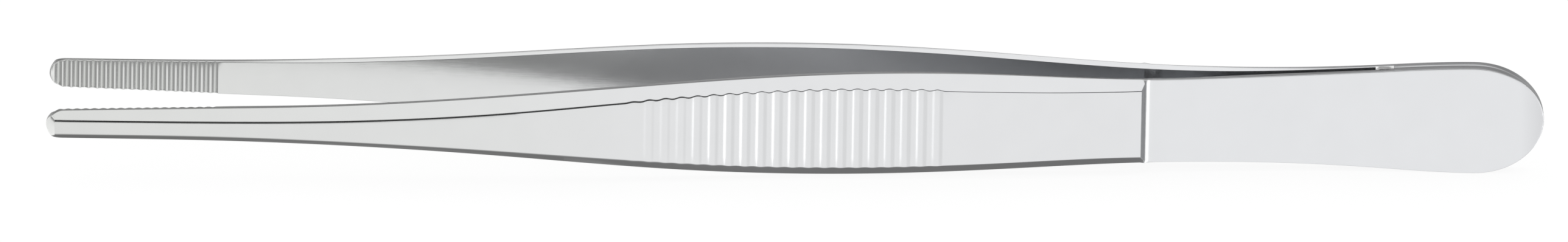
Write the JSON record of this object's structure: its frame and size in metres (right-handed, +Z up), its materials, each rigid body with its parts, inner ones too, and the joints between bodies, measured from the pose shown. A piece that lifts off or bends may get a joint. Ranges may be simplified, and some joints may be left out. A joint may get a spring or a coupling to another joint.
{
  "type": "thumb forceps",
  "caption": "Spring-armed thumb forceps with tapered serrated jaws, facetted ribbed finger grips and a flat welded butt, in satin stainless steel.",
  "frame": {"origin": "under the middle of the whole forceps, on the surface that its side edges rest on, in the plane between the arms", "axes": "-X towards the tips and +X towards the butt, the longest extent; Y the way the arms open, with the left arm at -Y; +Z up, across the width of the arms, the shortest extent"},
  "size_m": [0.145, 0.021, 0.0105],
  "materials": {
    "arm_steel": "satin stainless steel",
    "weld_steel": "bright weld, left as run"
  },
  "bodies": {
    "root": {"left_arm": "arm_steel", "right_arm": "arm_steel", "butt_weld": "weld_steel"}
  },
  "joints": []
}
